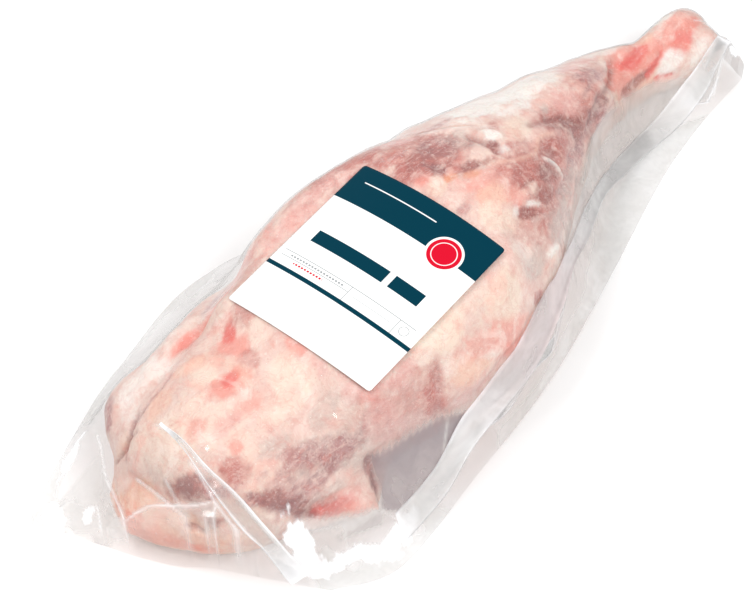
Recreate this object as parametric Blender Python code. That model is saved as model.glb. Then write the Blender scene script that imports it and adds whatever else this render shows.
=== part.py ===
"""A raw leg of lamb, bone in, sealed in a clear bag with a label stuck on top.

Units are metres, +Z up. The bag lies on its flat underside at z = 0 with the
shank towards +X, and the origin is the middle of the base of its bounding box.
The bag is one solid out to the film: the film's upper sheet is draped over the
leg, which is built first as a guide, and its underside is flat.
"""

import math

import bmesh
import bpy
from mathutils import Matrix, Vector
from mathutils.bvhtree import BVHTree

MM = 0.001
RAY_START = 1.0  # well above everything

# The leg: cross-sections from the rump to the hock, as
# (x, middle y, half width, height), all in millimetres.
SECTIONS = (
    (-204, -1, 22, 28),
    (-194, -1, 40, 46),
    (-169, -3, 54, 60),
    (-123, -4, 53, 68),
    (-77, -5, 63, 79),
    (-26, 0, 69, 86),
    (23, 10, 59, 82),
    (66, 20, 42, 69),
    (111, 31, 29, 54),
    (152, 32, 22, 41),
    (178, 25, 16, 33),
    (208, 23, 17, 36),
    (225, 22, 12, 29),
)
WIDEST_AT = 0.42  # share of a section's height where it is widest
SECTION_POINTS = 24
UNDERSIDE_SQUARENESS = 0.6  # below 1 the underside is flatter than an ellipse

# Muscles and joints that stand out of the sections, as
# (name, centre, radii, turn about Z in degrees), in millimetres.
LOBES = (
    ("flank flap", (-137, -32, 20), (38, 27, 20), 38),
    ("flap corner", (-125, -57, 12), (17, 14, 11), 38),
    ("tail edge", (-148, 34, 32), (60, 20, 22), 24),
    ("tail corner", (-167, 38, 25), (28, 23, 20), 0),
    ("rump", (-158, -10, 36), (42, 44, 30), 0),
    ("rump end", (-197, -4, 15), (20, 30, 16), 20),
    ("topside", (-40, -24, 40), (76, 44, 36), 8),
    ("silverside", (-28, 30, 47), (84, 38, 36), -6),
    ("calf", (92, 31, 34), (58, 24, 27), -12),
    ("heel tendon", (148, 37, 29), (34, 11, 12), -8),
    ("inner hock", (207, 14, 17), (26, 13, 15), -6),
    ("outer hock", (205, 33, 24), (26, 12, 16), 5),
)
LOBE_SEGMENTS, LOBE_RINGS = 20, 12
LEG_VOXEL = 6 * MM
LEG_SMOOTHING = 6  # smoothing passes

# The bag's outline on the table, in millimetres: its two long edges from the
# near end to the far end, and the near end itself, which is drawn in close
# under the rump, from the right edge to the left.
RIGHT_EDGE = ((-167, -81), (-136, -95), (-78, -86), (-8, -73), (60, -52), (136, -26), (187, -14), (231, -8))
LEFT_EDGE = (
    (-242, 44),
    (-200, 66),
    (-145, 86),
    (-60, 95.1),
    (60, 88),
    (150, 70),
    (215, 52),
    (242, 30),
)
NEAR_END = ((-167, -81), (-181, -59), (-193, -38), (-209, -17), (-221, 3), (-231, 24), (-242, 44))
NEAR_END_FADE = 12  # the larger it is, the sooner the bag is straight again
ROWS, COLUMNS = 88, 38
SKIRT_THICKNESS = 2 * MM  # both sheets of film and the air left between them
FILM_GAP = 0.6 * MM
DRAPE_PASSES = 260
FILM_PULL = 0.5 * MM  # how far the vacuum draws each point down in one pass

# The label, in millimetres. Its head is towards the shank. The card is stiffer
# than the meat, so the meat and the film under it are pressed to its gentle bend.
LABEL_PLAN = (85, 98)  # across and along the leg, as seen from above
LABEL_CENTRE = (-66, -3)
LABEL_TURN = 5  # degrees from +X
LABEL_CORNER_HEIGHTS = ((77, 79), (67, 68))  # head left and right, tail left and right
LABEL_BEND = (4, 2.5)  # how far its middle stands above its sides, at the head and the tail
LABEL_PRESS_FADE = 16  # how far from the card the meat is pressed
LABEL_CORNER = 3
LABEL_THICKNESS = 0.4 * MM
LABEL_GAP = 0.6 * MM
LABEL_CELLS = (16, 18)


def clear_scene():
    for old in list(bpy.data.objects):
        bpy.data.objects.remove(old, do_unlink=True)


def add_object(name, bm, colour=None, roughness=0.5, guide=False):
    """Makes an object of bm, with its material, or as a guide that isn't a part."""
    mesh = bpy.data.meshes.new(name)
    bm.to_mesh(mesh)
    bm.free()
    made = bpy.data.objects.new(name, mesh)
    bpy.context.scene.collection.objects.link(made)
    if guide:
        made.hide_render = True
        made.display_type = "WIRE"
        return made
    material = bpy.data.materials.new(name)
    material.use_nodes = True
    shader = material.node_tree.nodes["Principled BSDF"]
    shader.inputs["Base Color"].default_value = (*colour, 1)
    shader.inputs["Roughness"].default_value = roughness
    mesh.materials.append(material)
    mesh.shade_smooth()
    return made


def spline(points, share):
    """The point at share (0 to 1) of a smooth curve through the points, by number."""
    place = min(max(share, 0), 1) * (len(points) - 1)
    i = min(int(place), len(points) - 2)
    t = place - i
    before, start, end, after = (
        Vector(points[min(max(k, 0), len(points) - 1)]) for k in (i - 1, i, i + 1, i + 2)
    )
    return 0.5 * (
        2 * start
        + (end - before) * t
        + (2 * before - 5 * start + 4 * end - after) * t**2
        + (3 * start - before - 3 * end + after) * t**3
    )


def section_point(section, angle):
    """A point of a cross-section: angle 0 is its left side, and 90 degrees its top."""
    x, middle, half_width, height = section
    rise = math.sin(angle)
    widest = WIDEST_AT * height
    if rise > 0:
        z = widest + (height - widest) * rise
    else:
        z = widest - widest * abs(rise) ** UNDERSIDE_SQUARENESS
    return Vector((x, middle + half_width * math.cos(angle), z)) * MM


def loft_sections(bm):
    """One closed tube through the cross-sections."""
    rings = []
    for section in SECTIONS:
        ring = bmesh.ops.create_circle(bm, segments=SECTION_POINTS, radius=1)["verts"]
        for k, vert in enumerate(ring):
            vert.co = section_point(section, 2 * math.pi * k / SECTION_POINTS)
        rings.append(ring)
    for ring, following in zip(rings, rings[1:]):
        edges = [e for e in bm.edges if all(v in ring or v in following for v in e.verts)]
        bmesh.ops.bridge_loops(bm, edges=edges)
    for ring in (rings[0], rings[-1]):
        bmesh.ops.contextual_create(bm, geom=ring)


def add_lobe(bm, centre, radii, turn):
    place = Matrix.Translation(Vector(centre) * MM)
    place @= Matrix.Rotation(math.radians(turn), 4, "Z")
    place @= Matrix.Diagonal((*(Vector(radii) * MM), 1))
    bmesh.ops.create_uvsphere(
        bm, u_segments=LOBE_SEGMENTS, v_segments=LOBE_RINGS, radius=1, matrix=place
    )


def make_leg():
    """The leg as a guide: the lofted body and its lobes, grown together."""
    bm = bmesh.new()
    loft_sections(bm)
    for _, centre, radii, turn in LOBES:
        add_lobe(bm, centre, radii, turn)
    bmesh.ops.recalc_face_normals(bm, faces=bm.faces)
    leg = add_object("leg_guide", bm, guide=True)
    grown = leg.modifiers.new("grown together", "REMESH")
    grown.mode = "VOXEL"
    grown.voxel_size = LEG_VOXEL
    smooth = leg.modifiers.new("smooth", "SMOOTH")
    smooth.iterations = LEG_SMOOTHING
    return leg


def surface_of(thing):
    """The object's evaluated surface, to cast rays at."""
    graph = bpy.context.evaluated_depsgraph_get()
    graph.update()
    return BVHTree.FromObject(thing, graph)


def height_at(surface, x, y):
    """The height of the surface over a point of the table, or 0 beside it."""
    hit = surface.ray_cast(Vector((x, y, RAY_START)), Vector((0, 0, -1)))[0]
    return hit.z if hit else 0


def bag_point(along, across):
    """A point of the bag's outline plan: along from the near end, across from the right edge."""
    point = spline(RIGHT_EDGE, along).lerp(spline(LEFT_EDGE, along), across)
    drawn_in = spline(NEAR_END, across) - Vector(NEAR_END[0]).lerp(Vector(NEAR_END[-1]), across)
    return (point + drawn_in * (1 - along) ** NEAR_END_FADE).to_3d() * MM


def pressed(x, y, height):
    """The height of the leg at a point, once the card has pressed it."""
    turned = Matrix.Rotation(math.radians(-LABEL_TURN), 2) @ (Vector((x, y)) / MM - Vector(LABEL_CENTRE))
    along = turned.x / LABEL_PLAN[1] * 2  # -1 at the tail and 1 at the head
    across = turned.y / LABEL_PLAN[0] * 2  # -1 at the right side and 1 at the left
    outside = math.hypot(
        max(abs(turned.x) - LABEL_PLAN[1] / 2, 0), max(abs(turned.y) - LABEL_PLAN[0] / 2, 0)
    )
    if outside >= LABEL_PRESS_FADE:
        return height
    sides = [(left * (1 + across) + right * (1 - across)) / 2 for left, right in LABEL_CORNER_HEIGHTS]
    bends = [bend * (1 - across**2) for bend in LABEL_BEND]
    head, tail = (side + bend for side, bend in zip(sides, bends))
    card = (head * (1 + along) + tail * (1 - along)) / 2 * MM
    share = 1 - outside / LABEL_PRESS_FADE
    return height + (card - height) * share * share * (3 - 2 * share)


def drape(leg_surface):
    """Heights of the film's upper sheet, relaxed like a stretched skin over the leg."""
    places = [
        [bag_point(i / ROWS, j / COLUMNS) for j in range(COLUMNS + 1)] for i in range(ROWS + 1)
    ]
    floor = SKIRT_THICKNESS
    rests_on = [
        [max(floor, pressed(p.x, p.y, height_at(leg_surface, p.x, p.y)) + FILM_GAP) for p in row]
        for row in places
    ]
    for i in range(ROWS + 1):
        for j in range(COLUMNS + 1):
            if i in (0, ROWS) or j in (0, COLUMNS):
                rests_on[i][j] = floor
    heights = [row[:] for row in rests_on]
    for _ in range(DRAPE_PASSES):
        for i in range(1, ROWS):
            for j in range(1, COLUMNS):
                around = heights[i - 1][j] + heights[i + 1][j] + heights[i][j - 1] + heights[i][j + 1]
                heights[i][j] = max(rests_on[i][j], around / 4 - FILM_PULL)
    return places, heights


def make_bag(leg_surface):
    places, heights = drape(leg_surface)
    bm = bmesh.new()
    bmesh.ops.create_grid(bm, x_segments=COLUMNS, y_segments=ROWS, size=1)
    for vert in bm.verts:
        j = round((vert.co.x + 1) / 2 * COLUMNS)
        i = round((vert.co.y + 1) / 2 * ROWS)
        vert.co = (places[i][j].x, places[i][j].y, heights[i][j])
    rim = [e for e in bm.edges if e.is_boundary]
    wall = bmesh.ops.extrude_edge_only(bm, edges=rim)["geom"]
    for vert in (v for v in wall if isinstance(v, bmesh.types.BMVert)):
        vert.co.z = 0
    base = [e for e in bm.edges if e.is_boundary]
    bmesh.ops.edgenet_fill(bm, edges=base)
    bmesh.ops.recalc_face_normals(bm, faces=bm.faces)
    return add_object("bag", bm, colour=(0.86, 0.68, 0.62), roughness=0.25)


def rounded(flat, half_width, half_length, corner):
    """flat, drawn in where it lies past a corner's arc."""
    inner = Vector(
        (
            max(corner - half_width, min(flat.x, half_width - corner)),
            max(corner - half_length, min(flat.y, half_length - corner)),
        )
    )
    past = flat - inner
    return inner + past.normalized() * corner if past.length > corner else flat


def make_label(bag_surface):
    """A sheet of card with round corners that follows the film under it."""
    half_width, half_length = (side * MM / 2 for side in LABEL_PLAN)
    turn = Matrix.Rotation(math.radians(LABEL_TURN), 2)
    bm = bmesh.new()
    bmesh.ops.create_grid(bm, x_segments=LABEL_CELLS[0], y_segments=LABEL_CELLS[1], size=1)
    for vert in bm.verts:
        flat = Vector((vert.co.x * half_width, vert.co.y * half_length))
        flat = rounded(flat, half_width, half_length, LABEL_CORNER * MM)
        place = turn @ Vector((flat.y, -flat.x)) + Vector(LABEL_CENTRE) * MM
        vert.co = (place.x, place.y, height_at(bag_surface, place.x, place.y) + LABEL_GAP)
    label = add_object("label", bm, colour=(0.92, 0.92, 0.9), roughness=0.4)
    thick = label.modifiers.new("thickness", "SOLIDIFY")
    thick.thickness = LABEL_THICKNESS
    thick.offset = 1
    return label


def main():
    clear_scene()
    leg = make_leg()
    bag = make_bag(surface_of(leg))
    make_label(surface_of(bag))


main()
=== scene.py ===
import math

import bmesh
import bpy
import numpy as np
from mathutils import Matrix, Vector, noise
from mathutils.bvhtree import BVHTree


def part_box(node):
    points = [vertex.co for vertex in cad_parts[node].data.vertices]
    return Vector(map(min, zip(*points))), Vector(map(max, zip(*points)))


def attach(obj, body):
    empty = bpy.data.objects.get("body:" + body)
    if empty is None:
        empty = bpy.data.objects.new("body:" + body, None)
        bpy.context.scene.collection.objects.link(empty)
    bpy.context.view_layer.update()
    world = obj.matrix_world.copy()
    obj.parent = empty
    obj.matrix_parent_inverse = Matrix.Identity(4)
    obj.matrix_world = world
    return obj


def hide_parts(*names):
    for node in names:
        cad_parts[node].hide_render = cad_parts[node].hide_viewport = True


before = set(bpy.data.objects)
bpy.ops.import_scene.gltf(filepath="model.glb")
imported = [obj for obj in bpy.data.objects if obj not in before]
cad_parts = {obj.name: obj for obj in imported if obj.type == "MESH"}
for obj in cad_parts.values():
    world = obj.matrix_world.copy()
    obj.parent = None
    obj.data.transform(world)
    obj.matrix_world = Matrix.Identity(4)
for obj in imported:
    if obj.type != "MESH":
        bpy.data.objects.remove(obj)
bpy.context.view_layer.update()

mm = 0.001
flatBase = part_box("bag")[0].z  # the table under the bag


# ---- shader maths ----


def rgb(red, green, blue):
    # a colour as picked from a colour wheel, 0 to 255, made linear for a shader
    def linear(value):
        share = value / 255
        return share / 12.92 if share <= 0.04045 else ((share + 0.055) / 1.055) ** 2.4

    return (linear(red), linear(green), linear(blue), 1)


def combining(operation):
    return lambda self, *others: self.paint.math(operation, self, *others)


class Wire:
    # a shader socket that can be added, multiplied and so on like a number
    def __init__(self, paint, socket):
        self.paint = paint
        self.socket = socket

    def __rsub__(self, other):
        return self.paint.math("SUBTRACT", other, self)

    __add__ = __radd__ = combining("ADD")
    __mul__ = __rmul__ = combining("MULTIPLY")
    __sub__ = combining("SUBTRACT")
    __pow__ = combining("POWER")
    __abs__ = combining("ABSOLUTE")
    least = combining("MINIMUM")

    def ridge(self):
        # 1 where noise crosses its middle, and less on both sides
        return 1 - abs(self * 2 - 1)

    def step(self, low, high):
        # 0 below low and 1 above high, with a soft change between
        limits = {"Value": self, "From Min": low, "From Max": high}
        return self.paint.add("ShaderNodeMapRange", {"interpolation_type": "SMOOTHSTEP"}, limits)


class Paint:
    # one material and the nodes it is built from
    def __init__(self, name):
        self.material = bpy.data.materials.new(name)
        self.material.use_nodes = True
        self.tree = self.material.node_tree
        self.tree.nodes.clear()

    def add(self, kind, settings=None, inputs=None, output=0):
        node = self.tree.nodes.new(kind)
        for name, value in (settings or {}).items():
            setattr(node, name, value)
        for name, value in (inputs or {}).items():
            if isinstance(value, Wire):
                self.tree.links.new(value.socket, node.inputs[name])
            else:
                node.inputs[name].default_value = value
        return Wire(self, node.outputs[output])

    def math(self, operation, *values):
        return self.add("ShaderNodeMath", {"operation": operation}, dict(enumerate(values)))

    def place(self, stretch=(1, 1, 1), turn=0):
        # where a point of the piece is, stretched so that a pattern runs along it
        where = self.add("ShaderNodeTexCoord", output="Object")
        mapping = {"Vector": where, "Scale": stretch, "Rotation": (0, 0, math.radians(turn))}
        return self.add("ShaderNodeMapping", inputs=mapping)

    def noise(self, size, place=None, detail=4, roughness=0.6, warp=0):
        # noise about 0.5, with bumps about size across
        inputs = {"Scale": 1 / size, "Detail": detail, "Roughness": roughness, "Distortion": warp}
        inputs["Vector"] = place or self.place()
        return self.add("ShaderNodeTexNoise", inputs=inputs)

    def blend(self, share, first, second):
        settings = {"data_type": "RGBA", "clamp_factor": True}
        return self.add("ShaderNodeMix", settings, {0: share, 6: first, 7: second}, output=2)

    def layers(self, colour, layers):
        # each layer covers part of the colour under it: its share, and its colour from 0 to 255
        for share, tint in layers:
            colour = self.blend(share, colour, rgb(*tint))
        return colour

    def bump(self, height, distance, strength):
        inputs = {"Height": height, "Distance": distance, "Strength": strength}
        return self.add("ShaderNodeBump", inputs=inputs)

    def attribute(self, name, output="Fac"):
        return self.add("ShaderNodeAttribute", {"attribute_name": name}, output=output)

    def surface(self, inputs):
        return self.add("ShaderNodeBsdfPrincipled", inputs=inputs)

    def finish(self, surface):
        output = self.tree.nodes.new("ShaderNodeOutputMaterial")
        self.tree.links.new(surface.socket, output.inputs["Surface"])
        return self.material


# ---- shapes ----


def addObject(name, data):
    made = bpy.data.objects.new(name, data)
    bpy.context.scene.collection.objects.link(made)
    return made


def addPiece(name, bm):
    mesh = bpy.data.meshes.new(name)
    bm.to_mesh(mesh)
    bm.free()
    mesh.shade_smooth()
    return addObject(name, mesh)


def thicken(piece, thickness):
    thick = piece.modifiers.new("thickness", "SOLIDIFY")
    thick.thickness = thickness * mm
    thick.offset = 1


def currentGraph():
    graph = bpy.context.evaluated_depsgraph_get()
    graph.update()
    return graph


def applyModifiers(piece):
    made = bpy.data.meshes.new_from_object(piece.evaluated_get(currentGraph()))
    piece.modifiers.clear()
    piece.data = made
    made.shade_smooth()


def surfaceOf(piece):
    return BVHTree.FromObject(piece, currentGraph())


def readVectors(mesh, name):
    # the place ("co") or the normal of each vertex, one a row
    vectors = np.empty(len(mesh.vertices) * 3, np.float32)
    mesh.vertices.foreach_get(name, vectors)
    return vectors.reshape(-1, 3).astype(float)


def smoothStep(value, low, high):
    share = np.clip((value - low) / (high - low), 0, 1)
    return share * share * (3 - 2 * share)


def splinePoint(points, share):
    # the point at share (0 to 1) of a smooth curve through the points
    place = min(max(share, 0), 1) * (len(points) - 1)
    i = min(int(place), len(points) - 2)
    t = place - i
    before, start, end, after = (
        Vector(points[min(max(k, 0), len(points) - 1)]) for k in (i - 1, i, i + 1, i + 2)
    )
    return 0.5 * (
        2 * start
        + (end - before) * t
        + (2 * before - 5 * start + 4 * end - after) * t**2
        + (3 * start - before - 3 * end + after) * t**3
    )


def splineRoute(points, count):
    return [splinePoint(points, k / count) for k in range(count + 1)]


def turned(x, y, degrees):
    # how far a place is along and across a direction that is turned by degrees
    sine, cosine = math.sin(math.radians(degrees)), math.cos(math.radians(degrees))
    return x * cosine + y * sine, y * cosine - x * sine


def distanceTo(route, places, reach):
    # how far each place is from a line of points, and how far along the line it is (0 to 1)
    nearest = np.full(len(places), 10.0 * reach)
    along = np.zeros(len(places))
    low, high = route.min(0) - reach, route.max(0) + reach
    close = np.flatnonzero(((places > low) & (places < high)).all(1))
    here = places[close]
    best = nearest[close]
    part = along[close]
    for k, (start, end) in enumerate(zip(route, route[1:])):
        step = end - start
        share = np.clip((here - start) @ step / (step @ step), 0, 1)
        gap = np.linalg.norm(here - start - share[:, None] * step, axis=1)
        nearer = gap < best
        best[nearer] = gap[nearer]
        part[nearer] = (k + share[nearer]) / (len(route) - 1)
    nearest[close] = best
    along[close] = part
    return nearest, along


def noiseOver(places, size, seed, octaves=1):
    # smooth noise about 0 at each place, with bumps about size across
    shift = np.array((17.3, 9.1, 5.7)) * seed
    spots = places / size + shift
    if octaves == 1:
        return np.array([noise.noise(spot) for spot in spots])
    return np.array([noise.fractal(spot, 1.0, 2.0, octaves) for spot in spots])


def aroundEach(values):
    # a grid and its copies shifted by a cell each way
    rows, columns = values.shape
    padded = np.pad(values, 1, mode="edge")
    return [padded[i : i + rows, j : j + columns] for i in range(3) for j in range(3)]


def between(grid, i, j):
    # the values of a grid at places between its points
    i = np.clip(i, 0, grid.shape[0] - 1.001)
    j = np.clip(j, 0, grid.shape[1] - 1.001)
    i0, j0 = i.astype(int), j.astype(int)
    a, b = i - i0, j - j0
    near = grid[i0, j0] * (1 - b) + grid[i0, j0 + 1] * b
    far = grid[i0 + 1, j0] * (1 - b) + grid[i0 + 1, j0 + 1] * b
    return near * (1 - a) + far * a


def gridMesh(spots, **layers):
    # a sheet of quads with a point at each spot, and with values for the shader at each point
    rows, columns = spots.shape[0] - 1, spots.shape[1] - 1
    bm = bmesh.new()
    fields = [(bm.verts.layers.float.new(name), values) for name, values in layers.items()]
    bmesh.ops.create_grid(bm, x_segments=columns, y_segments=rows, size=1)
    for vert in bm.verts:
        i = round((vert.co.y + 1) / 2 * rows)
        j = round((vert.co.x + 1) / 2 * columns)
        vert.co = spots[i, j]
        for field, values in fields:
            vert[field] = values[i, j]
    return bm


# ---- where the label lies ----

labelShape = {
    "size": (86, 99),  # across and along, in mm
    "plan": (86, 98.5),  # the same as seen from above
    "centre": (-66.3, -3.2),
    "turn": 5,
    "corner": 1.2,
    "cornerHeights": ((77, 77), (67, 68)),  # head left and right, tail left and right
    "bend": (4.5, 2.5),  # how far its middle stands above its sides, at the head and the tail
    "pressFade": 16,  # the meat is pressed flat this far beyond the card
    "thickness": 0.3,
    "gap": 0.7,
    "lift": 1.0,  # the right side stands this much further off the film
    "cells": (64, 74),
    "teal": (0, 54, 70),
    "red": (208, 16, 44),
    "card": (250, 250, 249),
}


def cardHeight(x, y):
    # the gentle bend that the card keeps, and how far outside the card a place is, in mm
    across, along = labelShape["plan"]
    left, forward = labelShape["centre"]
    u, v = turned(x / mm - left, y / mm - forward, labelShape["turn"])
    outside = np.hypot(np.maximum(abs(u) - along / 2, 0), np.maximum(abs(v) - across / 2, 0))
    u, v = u / along * 2, v / across * 2
    (headLeft, headRight), (tailLeft, tailRight) = labelShape["cornerHeights"]
    headBend, tailBend = labelShape["bend"]
    head = (headLeft * (1 + v) + headRight * (1 - v)) / 2 + headBend * (1 - v * v)
    tail = (tailLeft * (1 + v) + tailRight * (1 - v)) / 2 + tailBend * (1 - v * v)
    return (head * (1 + u) + tail * (1 - u)) / 2 * mm, outside


# ---- the leg of lamb ----

legShape = {
    # (x, middle y, half width, height) of the cross-sections, rump to hock, in mm
    "sections": (
        (-204, -1, 22, 28),
        (-194, -1, 40, 46),
        (-169, -3, 54, 60),
        (-123, -4, 53, 68),
        (-77, -5, 63, 79),
        (-26, 0, 69, 86),
        (23, 10, 59, 82),
        (66, 20, 42, 69),
        (111, 31, 29, 54),
        (152, 34, 20, 41),
        (178, 28, 14, 33),
        (208, 20, 17, 35),
        (227, 18, 12, 28),
    ),
    # muscles and joints that stand out: centre, radii and turn about Z, in mm and degrees
    "lobes": {
        "flank flap": ((-137, -32, 20), (38, 27, 20), 38),
        "flap corner": ((-125, -57, 12), (17, 14, 11), 38),
        "tail edge": ((-148, 34, 32), (60, 20, 22), 24),
        "tail corner": ((-167, 38, 25), (28, 23, 20), 0),
        "rump": ((-158, -10, 36), (42, 44, 30), 0),
        "rump end": ((-190, -8, 14), (17, 30, 15), 12),
        "rump corner": ((-200, 7, 12), (16.5, 25, 13), -8),
        "topside": ((-40, -24, 40), (76, 44, 36), 8),
        "silverside": ((-28, 30, 47), (84, 38, 36), -6),
        "calf": ((88, 31, 34), (56, 24, 27), -12),
        "heel tendon": ((148, 37, 29), (34, 11, 12), -8),
        "inner hock": ((214, 13, 17), (20, 12, 15), -8),
        "outer hock": ((205, 29, 23), (31, 13, 15), 2),
    },
    "widestAt": 0.42,
    "underside": 0.6,  # below 1 the underside is flatter than an ellipse
    "points": 24,
    "voxel": 6,
    "smoothing": 6,
    "finer": 2,  # subdivisions
    "standsAt": 0.7,  # its lowest point, over the bag's lower sheet
    "unevenness": {"ragged": (9, 0.5), "fine": (3, 0.16), "lumps": (22, 1.0)},  # sizes and heights in mm
    "fatChange": 38,  # size of the pinker and yellower stretches
    "patchDepth": 8,  # a patch reaches this much deeper than its longest half
    "pressed": 0.97,  # how closely the meat follows the card
    "albedo": 0.9,  # the tones are picked as they look in a bright light
}

# the sides that the leg is marked from: right, up and towards the eye
legViews = {
    "top": ((1, 0, 0), (0, 1, 0), (0, 0, 1)),
    "near": ((1, 0, 0), (0, 0, 1), (0, -1, 0)),
    "far": ((1, 0, 0), (0, 0, 1), (0, 1, 0)),
    "end": ((0, 1, 0), (0, 0, 1), (-1, 0, 0)),
}

# each tone, and how fibrous it is: lean meat shows its grain, fat does not, and white fat is the calmest
tones = {
    "fat": ((242, 214, 203), 0),
    "white": ((255, 250, 244), -0.5),
    "cream": ((253, 234, 217), 0),
    "peach": ((251, 211, 190), 0),
    "salmon": ((247, 168, 154), 0),
    "orange": ((240, 168, 130), 0),
    "pink": ((241, 190, 182), 0.3),
    "rose": ((204, 128, 120), 0.6),
    "red": ((242, 110, 103), 0.2),
    "mauve": ((194, 144, 144), 1.0),
    "brown": ((162, 98, 93), 0.45),
    "plum": ((148, 92, 94), 0.25),
    "grey": ((214, 200, 192), 0.5),
}

# creases, tendons and edges, by the side they are marked from: route in mm, width, depth (below 0 it
# stands out), tone and strength
legStrokes = {
    "rump's left side": ("top", (
        (((-200, 18), (-196, 23), (-191, 26), (-186, 29), (-180, 30)), 1.3, 1.8, "brown", 0.8),
        (((-197, 25), (-192, 23), (-188, 22)), 1.0, 1.0, "brown", 0.6),
        (((-185, 28), (-176, 28), (-166, 29), (-158, 32)), 1.0, 1.0, "rose", 0.7),
        (((-186, 34), (-168, 35), (-150, 38), (-128, 42), (-108, 50)), 5, 2.2, None, 0),
        (((-152, 43), (-140, 41), (-128, 43), (-115, 48), (-98, 53), (-80, 56)), 1.8, 1.6, "salmon", 0.8),
        (((-165, 47), (-150, 50), (-135, 50)), 4, -1.4, "white", 0.6),
        (((-126, 49), (-114, 53), (-100, 56)), 1.0, 0.8, "mauve", 0.8),
        (((-160, 27), (-147, 24), (-142, 12), (-142, 0), (-147, -10)), 4, -1.2, "peach", 0.5),
        (((-172, -14), (-160, -17), (-148, -16), (-140, -10)), 3, 1.2, None, 0),
    )),
    "round": ("top", (
        (((-20, -5), (-8, 4), (2, 8), (14, 4), (26, -2), (40, -3)), 3, 1.2, None, 0),
        (((2, 11), (-1, 16), (-4, 24)), 2, 1.0, "plum", 0.7),
        (((28, 24), (31, 14), (33, 7), (30, 2)), 2.6, 2.4, "brown", 0.8),
        (((34, 20), (40, 19), (43, 14), (40, 10)), 1.4, -1.2, "white", 0.8),
        (((52, -7), (57, -9), (59, -13), (57, -19)), 1.5, -1.2, "white", 0.9),
        (((20, 2), (34, -4), (50, -4), (62, 3), (78, 3)), 1.8, -1.0, "peach", 0.6),
        (((60, 12), (74, 11), (88, 10), (98, 6)), 2.2, 1.6, "brown", 0.6),
        (((14, 44), (20, 37), (28, 31), (38, 25)), 2.2, -1.0, "white", 0.7),
        (((24, -18), (38, -16), (50, -18)), 1.2, 0.8, "brown", 0.5),
        (((10, -33), (30, -32), (50, -26), (66, -18)), 1.6, -0.9, "grey", 0.5),
    )),
    "seam and tendons of the shank": ("top", (
        (
            ((98, 1), (108, 5), (118, 9), (128, 13), (138, 18), (146, 23), (154, 29), (162, 35)),
            2.6, 2.2, "brown", 0.75,
        ),
        (((104, 4), (116, 9), (126, 12)), 3.4, 0.6, "plum", 0.7),
        (((112, 15), (126, 20), (138, 25), (148, 29)), 2, 1.0, "mauve", 0.7),
        (((124, 8), (138, 12), (152, 14), (166, 13), (180, 12)), 3, -1.5, "peach", 0.7),
        (((146, 16), (158, 17), (168, 18), (176, 18)), 1.6, 1.2, "brown", 0.6),
        (((170, 17), (180, 18), (188, 21)), 1.4, 1.0, "red", 0.8),
        (((150, 30), (160, 28), (172, 24)), 1.6, 0.8, "red", 0.5),
        (((190, 24), (198, 18), (204, 12)), 2.2, 1.4, "salmon", 0.6),
    )),
    "near side, notch and flap": ("near", (
        (((-73, 62), (-77, 55), (-80, 48), (-82, 38), (-85, 30)), 2.4, 2.2, "rose", 0.7),
        # the plum line down the notch is painted shade in its crease
        (((-121, 36), (-119, 28), (-120, 18), (-122, 8)), 3.0, 2.8, "plum", 0.8),
        (((-180, 50), (-170, 38), (-160, 29), (-152, 25)), 2.0, 1.4, "plum", 0.5),
        (((-150, 30), (-138, 28), (-126, 22)), 1.6, 1.0, "salmon", 0.5),
        (((-146, 12), (-136, 9), (-126, 8)), 2.5, -0.8, "white", 0.6),
        (((-60, 32), (-44, 40), (-28, 44), (-12, 48)), 3, 1.4, "salmon", 0.5),
        (((14, 55), (20, 54), (26, 50)), 2.0, -1.6, "white", 0.9),
        (((44, 58), (60, 53), (78, 50), (96, 43), (112, 40)), 1.6, 1.4, "mauve", 0.6),
        (((176, 22), (184, 20), (190, 20)), 1.6, 0.8, "red", 0.8),
    )),
    "rump's end": ("end", (
        (((28, 50), (27, 44), (23, 38), (26, 28), (30, 20)), 1.4, 1.6, "brown", 0.7),
        (((-33, 27), (-27, 28), (-21, 26)), 1.4, 1.4, "brown", 0.8),
        (((-34, 30), (-18, 31), (-2, 32), (12, 30), (20, 22)), 3, 1.8, None, 0),
    )),
    "far side": ("far", (
        (((-150, 30), (-100, 38), (-40, 34), (10, 36), (60, 34)), 3, 1.8, "rose", 0.5),
        (((-120, 20), (-70, 24), (-20, 22)), 4, -1.4, "white", 0.6),
        (((80, 26), (110, 30), (140, 26), (170, 22)), 2.4, 1.4, "mauve", 0.5),
    )),
}

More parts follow.
